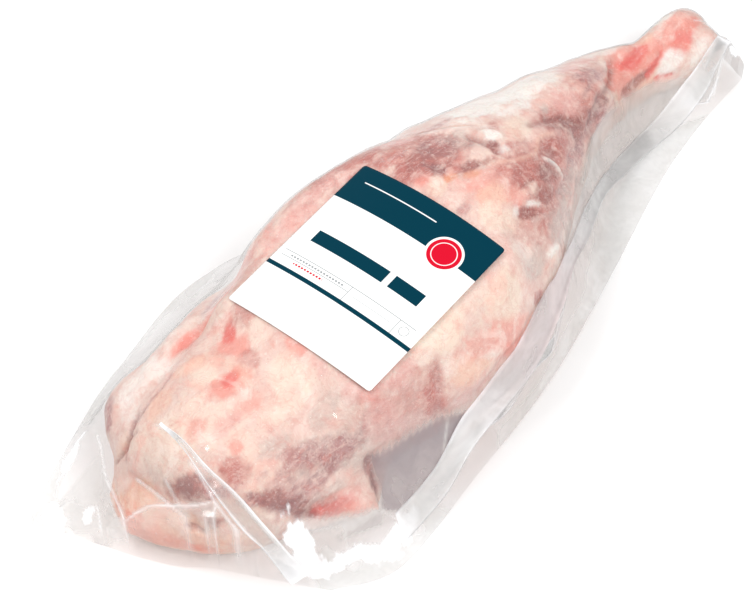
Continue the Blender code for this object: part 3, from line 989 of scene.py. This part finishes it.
def insidePolygon(corners, across, upwards):
    # 1 inside the polygon, with a soft fade outside
    inside = np.zeros(len(across), bool)
    gap = np.full(len(across), 1e9)
    for (x0, y0), (x1, y1) in zip(corners, corners[1:] + corners[:1]):
        crosses = (y0 > upwards) != (y1 > upwards)
        if y1 != y0:
            inside ^= crosses & (across < x0 + (x1 - x0) * (upwards - y0) / (y1 - y0))
        dx, dy = x1 - x0, y1 - y0
        share = np.clip(((across - x0) * dx + (upwards - y0) * dy) / (dx**2 + dy**2), 0, 1)
        gap = np.minimum(gap, np.hypot(across - x0 - share * dx, upwards - y0 - share * dy))
    return np.where(inside, 1.0, np.exp(-((gap / bagShape["facetFade"]) ** 2)))


def sheetTree(sheet):
    rows, columns = sheet.shape[:2]
    corner = np.arange(rows * columns).reshape(rows, columns)[:-1, :-1].ravel()[:, None]
    quads = corner + np.array((0, 1, columns + 1, columns))
    return BVHTree.FromPolygons(sheet.reshape(-1, 3).tolist(), quads.tolist())


def filmLook(sheet, free, bare):
    # how milky the film is at each of its points, and how white: painted glare and shade on its facets,
    # painted glints along its folds, and glare
    places = sheet.reshape(-1, 3)
    ragged = noiseOver(places * (1, 1, 0.3), 6 * mm, 15, 3)
    cloudy = noiseOver(places * (1, 1, 0.3), 30 * mm, 16, 2)
    tree = sheetTree(sheet)
    haze = bagShape["veil"]
    doubled = 1 - smoothStep((places[:, 2] - flatBase) / mm, 4, 16)  # the two sheets cling together
    milky = haze["clinging"] + haze["free"] * free.ravel() + haze["doubled"] * doubled * bare.ravel()
    white = 0.1 + 0.3 * cloudy
    right = np.array((0.7071, -0.7071, 0))
    up = np.cross(towardsCorner, right)
    for corners, veil, frost in filmFacets:
        flat = [(float(right @ corner), float(up @ corner)) for corner in corners]
        share = insidePolygon(flat, places @ right / mm, places @ up / mm)
        milky += (veil - milky) * share
        white += (frost - white) * share
    # a painted glint whitens the film along each fold
    for points, _, strength in filmFolds.values():
        route = foldRoute(points)
        for k, point in enumerate(route):
            hit = tree.ray_cast(Vector(point) + towardsCorner * 0.3, -towardsCorner)[0]
            route[k] = hit or tree.find_nearest(point)[0]
        gap, along = distanceTo(route, places, 6 * mm)
        ends = smoothStep(along, 0, 0.1) * (1 - smoothStep(along, 0.85, 1))
        share = np.exp(-((gap / mm / bagShape["foldGlintLine"]) ** 2)) * ends * strength
        milky = np.maximum(milky, share)
        white += (1 - white) * share
    for middle, halves, turn in filmGlare:
        x, y = turned(places[:, 0] / mm - middle[0], places[:, 1] / mm - middle[1], turn)
        gap = np.hypot(x / halves[0], y / halves[1])
        share = 0.9 * (1 - smoothStep(gap + 0.7 * ragged, 0.8, 1.0))
        milky = np.maximum(milky, share)
        white += (1 - white) * share
    return milky.reshape(free.shape), white.reshape(free.shape)


def makeFilm(sheet, milky, white):
    bm = gridMesh(sheet, veil=milky, frost=white)
    veil = bm.verts.layers.float["veil"]
    rim = [e for e in bm.edges if e.is_boundary]
    # first a low wall straight down, and then the lower sheet, drawn in a little
    for drop, inwards in ((bagShape["wall"] * mm, 1), (0, 0.97)):
        wall = bmesh.ops.extrude_edge_only(bm, edges=rim)["geom"]
        below = [v for v in wall if isinstance(v, bmesh.types.BMVert)]
        rim = [e for e in wall if isinstance(e, bmesh.types.BMEdge)]
        for vert in below:
            vert.co.x *= inwards
            vert.co.y *= inwards
            vert.co.z = vert.co.z - drop if drop else flatBase + bagShape["lowerSheet"] * mm
            vert[veil] = -1  # the lower sheet lies on the table and hardly shows
    bmesh.ops.edgenet_fill(bm, edges=[e for e in bm.edges if e.is_boundary])
    bmesh.ops.recalc_face_normals(bm, faces=bm.faces)
    film = addPiece("bag_film", bm)
    film.data.set_sharp_from_angle(angle=math.radians(50))
    return film


# bands of film that are folded over: their two edges on the bag's plan, in mm, how far they stand off it,
# how milky they are at the first edge, between the edges and at the other edge, how wide those edges are
# as a share of the band, how white the film is between them, and which shares of its length turn white
# with a painted highlight, as both edges do
foldedBands = {
    "pleat": {
        "inner": (
            (222, 8), (206, 5), (190, 5), (170, 4), (150, 3), (119, -4), (87, -16), (51, -34), (21, -49),
            (1, -56), (-25, -66), (-48, -69), (-78, -73), (-98, -76), (-122, -77),
        ),
        "outer": (
            (228, 2), (210, -3), (196, -7), (174, -9), (150, -9), (122, -12), (95, -19), (60, -37),
            (35, -48), (14, -60), (-12, -71), (-36, -77), (-76, -83), (-98, -87), (-128, -90),
        ),
        "stand": 1.8,
        "veil": (0.7, 0.4, 0.45),
        "rim": 0.07,
        "frost": 0.4,
        "glareEnds": (0.03, 0.02),
        "blush": (0.6, 0.72, 0.14),  # where blood tinges it: start, end and how softly it fades
    },
    "lower pleat": {
        "inner": (
            (26, -51), (14, -57), (2, -64), (-14, -68), (-34, -73), (-60, -76), (-88, -79), (-112, -81),
        ),
        "outer": (
            (22, -55), (10, -62), (-4, -69), (-20, -72), (-42, -77), (-66, -80), (-92, -83), (-116, -86),
        ),
        "stand": 2.4,
        "veil": (0.5, 0.16, 0.5),
        "rim": 0.12,
        "frost": 0.5,
    },
    "hock pleat": {
        "inner": ((222, 6), (208, 3), (196, 0), (184, -3)),
        "outer": ((228, 4), (216, -2), (206, -7), (196, -10)),
        "stand": 1.6,
        "veil": (0.6, 0.12, 0.6),
        "rim": 0.1,
        "frost": 0.1,
        "glareEnds": (0.08, 0.05),
    },
    "rump band": {
        "inner": ((-183, 10), (-184, -8), (-185, -24), (-182, -39), (-179, -51), (-176, -60), (-172, -72)),
        "outer": (
            (-184.4, 9.6), (-187, -9), (-190, -26), (-190, -38), (-188, -48), (-184, -57), (-179, -68),
        ),
        "stand": 0.7,
        "veil": (1.0, 0.14, 0.55),
        "rim": 0.13,
        "frost": 0.1,
        "glareEnds": (0.2, 0.25),
    },
}


def makeBand(name, filmTree):
    # a strip of film laid along the bag, between two edges
    shape = foldedBands[name]
    stand = shape["stand"]
    rows, columns = bagShape["band"]["rows"], bagShape["band"]["columns"]
    spots = np.zeros((rows + 1, columns + 1, 3))
    edges = zip(splineRoute(shape["inner"], rows), splineRoute(shape["outer"], rows))
    for i, (near, far) in enumerate(edges):
        for j in range(columns + 1):
            flat = near.lerp(far, j / columns) * mm
            hit = filmTree.ray_cast(Vector((flat.x, flat.y, 1)), Vector((0, 0, -1)))[0]
            bulge = stand * (0.45 + 0.55 * math.sin(math.pi * j / columns)) * mm
            spots[i, j] = (flat.x, flat.y, (hit.z if hit else flatBase) + bulge)
    spots[..., 2] = np.max(aroundEach(spots[..., 2]), axis=0)
    least = spots[..., 2] - 0.25 * stand * mm
    for _ in range(bagShape["band"]["passes"]):
        padded = np.pad(spots[..., 2], 1, mode="edge")
        around = (padded[:-2, 1:-1] + padded[2:, 1:-1] + padded[1:-1, :-2] + padded[1:-1, 2:]) / 4
        spots[..., 2] = np.maximum(around, least)

    # painted highlights whiten both edges and both ends, and blood tinges part of its length
    along = np.linspace(0, 1, rows + 1)[:, None]
    across = np.linspace(0, 1, columns + 1)[None]
    first, middle, last = shape["veil"]
    blushStart, blushEnd, blushFade = shape.get("blush", (2, 2, 0.1))
    glareStart, glareEnd = shape.get("glareEnds", (1e-6, 1e-6))
    start = np.exp(-((across / shape["rim"]) ** 2))
    end = np.exp(-(((1 - across) / shape["rim"]) ** 2))
    tip = np.maximum(np.maximum(1 - along / glareStart, 1 - (1 - along) / glareEnd), 0)
    veil = np.maximum(middle + (first - middle) * start + (last - middle) * end, tip)
    frost = shape["frost"] + (1 - shape["frost"]) * np.maximum(np.maximum(start, end), tip)
    beyond = np.maximum(np.maximum(blushStart - along, along - blushEnd), 0)
    blush = np.maximum(1 - beyond / blushFade, 0) * np.ones(columns + 1)
    band = addPiece("film_" + name.replace(" ", "_"), gridMesh(spots, veil=veil, frost=frost, blush=blush))
    thicken(band, bagShape["band"]["thickness"])
    return band


def filmFinish():
    paint = Paint("clear film")
    veil = paint.attribute("veil")
    frost = paint.attribute("frost")
    upper = veil.step(-0.5, 0)
    # streaks of painted glare over the film
    glareStreaks = paint.noise(22 * mm, detail=3, roughness=0.5, warp=0.5)
    creases = paint.noise(12 * mm, detail=3, roughness=0.5, warp=0.3)
    pinches = paint.noise(2.2 * mm, detail=3)
    normal = paint.bump(creases.ridge() * 0.8 + pinches * 0.1, 0.5 * mm, 0.35)
    clear = paint.add("ShaderNodeBsdfTransparent", inputs={"Color": (0.98, 0.98, 0.98, 1)})
    # the milk turns dark mauve-grey where shade is painted, grey in between, and white where glare and
    # glints are painted
    layers = (
        (frost.step(-1, 0), (204, 201, 197)),
        ((frost + glareStreaks.step(0.45, 0.7) * 0.25).least(1), (251, 251, 253)),
        (paint.attribute("blush") * 0.65, (240, 214, 214)),
    )
    tint = paint.layers(rgb(140, 128, 131), layers)
    milk = paint.surface({"Base Color": tint, "Roughness": 0.45, "Normal": normal})
    haze = (veil * (glareStreaks.step(0.3, 0.7) * 0.5 + 0.75)).least(0.96) * upper
    veiled = paint.add("ShaderNodeMixShader", inputs={0: haze, 1: clear, 2: milk})
    shine = paint.add("ShaderNodeBsdfGlossy", inputs={"Roughness": 0.09, "Normal": normal})
    mirror = paint.add("ShaderNodeFresnel", inputs={"IOR": 1.45, "Normal": normal})
    glossy = paint.add("ShaderNodeMixShader", inputs={0: (mirror * upper).least(0.7), 1: veiled, 2: shine})
    return paint.finish(glossy)


# ---- the label ----


def rounded(flat, halfWidth, halfLength, corner):
    # a point of the card, moved in where the card's corner is round
    x, y = halfWidth - corner, halfLength - corner
    inner = Vector((max(-x, min(flat.x, x)), max(-y, min(flat.y, y))))
    past = flat - inner
    return inner + past.normalized() * corner if past.length > corner else flat


def makeLabel():
    halfWidth, halfLength = (side * mm / 2 for side in labelShape["plan"])
    turn = Matrix.Rotation(math.radians(labelShape["turn"]), 2)
    across, along = labelShape["cells"]
    bm = bmesh.new()
    bmesh.ops.create_grid(bm, x_segments=across, y_segments=along, size=1)
    uv = bm.loops.layers.uv.new("print")
    for vert in bm.verts:
        for loop in vert.link_loops:
            loop[uv].uv = ((vert.co.x + 1) / 2, (vert.co.y + 1) / 2)
    for vert in bm.verts:
        flat = Vector((vert.co.x * halfWidth, vert.co.y * halfLength))
        lift = labelShape["gap"] + labelShape["lift"] * ((vert.co.x + 1) / 2) ** 2
        flat = rounded(flat, halfWidth, halfLength, labelShape["corner"] * mm)
        place = turn @ Vector((flat.y, -flat.x)) + Vector(labelShape["centre"]) * mm
        vert.co = (place.x, place.y, cardHeight(place.x, place.y)[0] + lift * mm)
    label = addPiece("label_card", bm)
    thicken(label, labelShape["thickness"])
    return label


def labelFinish():
    paint = Paint("printed card")
    place = paint.add("ShaderNodeUVMap", {"uv_map": "print"})
    split = paint.add("ShaderNodeSeparateXYZ", inputs={"Vector": place})
    width, length = labelShape["size"]
    across = split * width
    fromTail = Wire(paint, split.socket.node.outputs["Y"]) * length

    def bar(left, right, low, high, soft=0.12):
        # 1 inside a rectangle of the label, in mm from its left edge and its tail
        sideways = across.step(left - soft, left + soft) * across.step(right + soft, right - soft)
        return sideways * (fromTail.step(low - soft, low + soft) * fromTail.step(high + soft, high - soft))

    def disc(x, y, radius, soft=0.14):
        gap = ((across - x) ** 2 + (fromTail - y) ** 2) ** 0.5
        return gap.step(radius + soft, radius - soft)

    def ring(x, y, radius, width):
        return disc(x, y, radius) * (1 - disc(x, y, radius - width))

    teal, red, card = (labelShape[name] for name in ("teal", "red", "card"))
    fibres = paint.noise(3 * mm)
    dashes = paint.math("FRACT", across * 0.55).step(0.25, 0.4)
    rules = bar(3, 82, 37.5, 37.95) + bar(3, 44, 34.1, 34.5)
    rules = rules + bar(44.1, 44.5, 29, 37.6) + bar(73, 73.4, 29, 37.6)
    prints = (
        (fibres * 0.5, (246, 247, 245)),
        (bar(-1, 90, 76, 101), teal),
        (bar(8, 52, 89.5, 90.1), card),
        (disc(66, 78, 9.6), card),
        (disc(66, 78, 8.4), red),
        (ring(66, 78, 6.4, 0.4), card),
        (bar(9.5, 53, 47.5, 55), teal),
        (bar(56.5, 74, 47.5, 55), teal),
        (rules.least(1) * 0.75, (104, 112, 116)),
        (bar(8, 40, 35.3, 36.3) * dashes * 0.75, (90, 98, 104)),
        (bar(12, 30, 32, 33) * dashes, red),
        (bar(48, 70, 33.2, 33.7) * 0.5, (120, 126, 130)),
        (ring(78, 33.8, 2.6, 0.4) * 0.7, (90, 98, 104)),
        (bar(-1, 90, 26.6, 29), teal),
    )
    surface = {
        "Base Color": paint.layers(rgb(*card), prints),
        "Roughness": fibres * 0.08 + 0.3,
        "Normal": paint.bump(fibres, 0.05 * mm, 0.3),
        "Specular IOR Level": 0.06,
    }
    return paint.finish(paint.surface(surface))


# ---- the table, the light and the camera ----


def makeFloor():
    bm = bmesh.new()
    bmesh.ops.create_grid(bm, x_segments=1, y_segments=1, size=3)
    bmesh.ops.translate(bm, verts=bm.verts, vec=(0, 0, flatBase - 0.1 * mm))
    floor = addPiece("floor", bm)
    paint = Paint("pale table")
    speckle = paint.noise(30 * mm, detail=3, roughness=0.5)
    colour = paint.blend(speckle * 0.3, rgb(249, 249, 249), rgb(244, 244, 244))
    surface = paint.surface({"Base Color": colour, "Roughness": 0.6})
    floor.data.materials.append(paint.finish(surface))


studio = {
    # softboxes: position, what they point at, size in metres, power in watts, and if they glint
    "lamps": {
        "key": ((-0.3, 0.8, 1.35), (0, 0, 0), 0.5, 5.4, False),
        "front": ((0.1, -1.1, 1.25), (0, 0, 0), 0.8, 12.5, False),
        "back": ((0.5, 1.4, 0.8), (0, 0, 0), 0.6, 4, False),
        "left": ((-1.3, -0.1, 0.7), (0, 0, 0), 0.7, 1.3, False),
        "glint": ((-0.9, 0.5, 1.5), (0, 0, 0), 0.16, 2.2, True),
        "side glint": ((-1.3, -0.7, 0.7), (0, 0, 0), 0.2, 1.6, True),
    },
    "sky": 0.69,
}


def makeLights():
    for name, (place, aim, size, power, glints) in studio["lamps"].items():
        lamp = bpy.data.lights.new(name, "AREA")
        lamp.shape = "SQUARE"
        lamp.size = size
        lamp.energy = power
        light = addObject(name, lamp)
        light.location = place
        towards = Vector(aim) - Vector(place)
        light.rotation_euler = towards.to_track_quat("-Z", "Y").to_euler()
        light.visible_glossy = glints
    world = bpy.data.worlds.new("studio")
    world.use_nodes = True
    sky = world.node_tree.nodes["Background"]
    sky.inputs["Color"].default_value = (1, 1, 1, 1)
    sky.inputs["Strength"].default_value = studio["sky"]
    bpy.context.scene.world = world
    bpy.context.scene.view_settings.view_transform = "Standard"


cameraView = {
    "azimuth": -45,
    "elevation": 51,
    "distance": 0.90,
    "aim": (-34.7, 22.5, 0),  # mm
    "lens": 84.0,
}


def makeCamera():
    turn, rise = (math.radians(cameraView[name]) for name in ("azimuth", "elevation"))
    back = Vector((math.sin(turn) * math.cos(rise), -math.cos(turn) * math.cos(rise), math.sin(rise)))
    lens = bpy.data.cameras.new("camera")
    lens.lens = cameraView["lens"]
    lens.sensor_width = 36
    lens.clip_start = 0.05
    camera = addObject("camera", lens)
    camera.location = Vector(cameraView["aim"]) * mm + back * cameraView["distance"]
    camera.rotation_euler = (-back).to_track_quat("-Z", "Y").to_euler()
    bpy.context.scene.camera = camera


# ---- putting it together ----

makeCamera()
makeLights()
makeFloor()

leg = makeLeg()
sculptLeg(leg)
leg.data.materials.append(meatFinish())
print("leg:", len(leg.data.polygons), "faces")

field = heightField(surfaceOf(leg))
sheet = drape(field)
milky, white = wrinkleFilm(sheet, field)
film = makeFilm(sheet, milky, white)
clearFilm = filmFinish()
film.data.materials.append(clearFilm)
print("film:", len(film.data.polygons), "faces")

filmTree = surfaceOf(film)
bands = [makeBand(name, filmTree) for name in foldedBands]
for band in bands:
    band.data.materials.append(clearFilm)
print("folded bands:", len(bands))

label = makeLabel()
label.data.materials.append(labelFinish())
print("label:", len(label.data.polygons), "faces")

pieces = [(leg, "meat", "bag"), (film, "film", "bag"), (label, "label_card", "label")]
pieces += [(band, "film", "bag") for band in bands]
for piece, slot, node in pieces:
    piece.visible_shadow = slot != "film"
    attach(piece, "root")
    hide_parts(node)
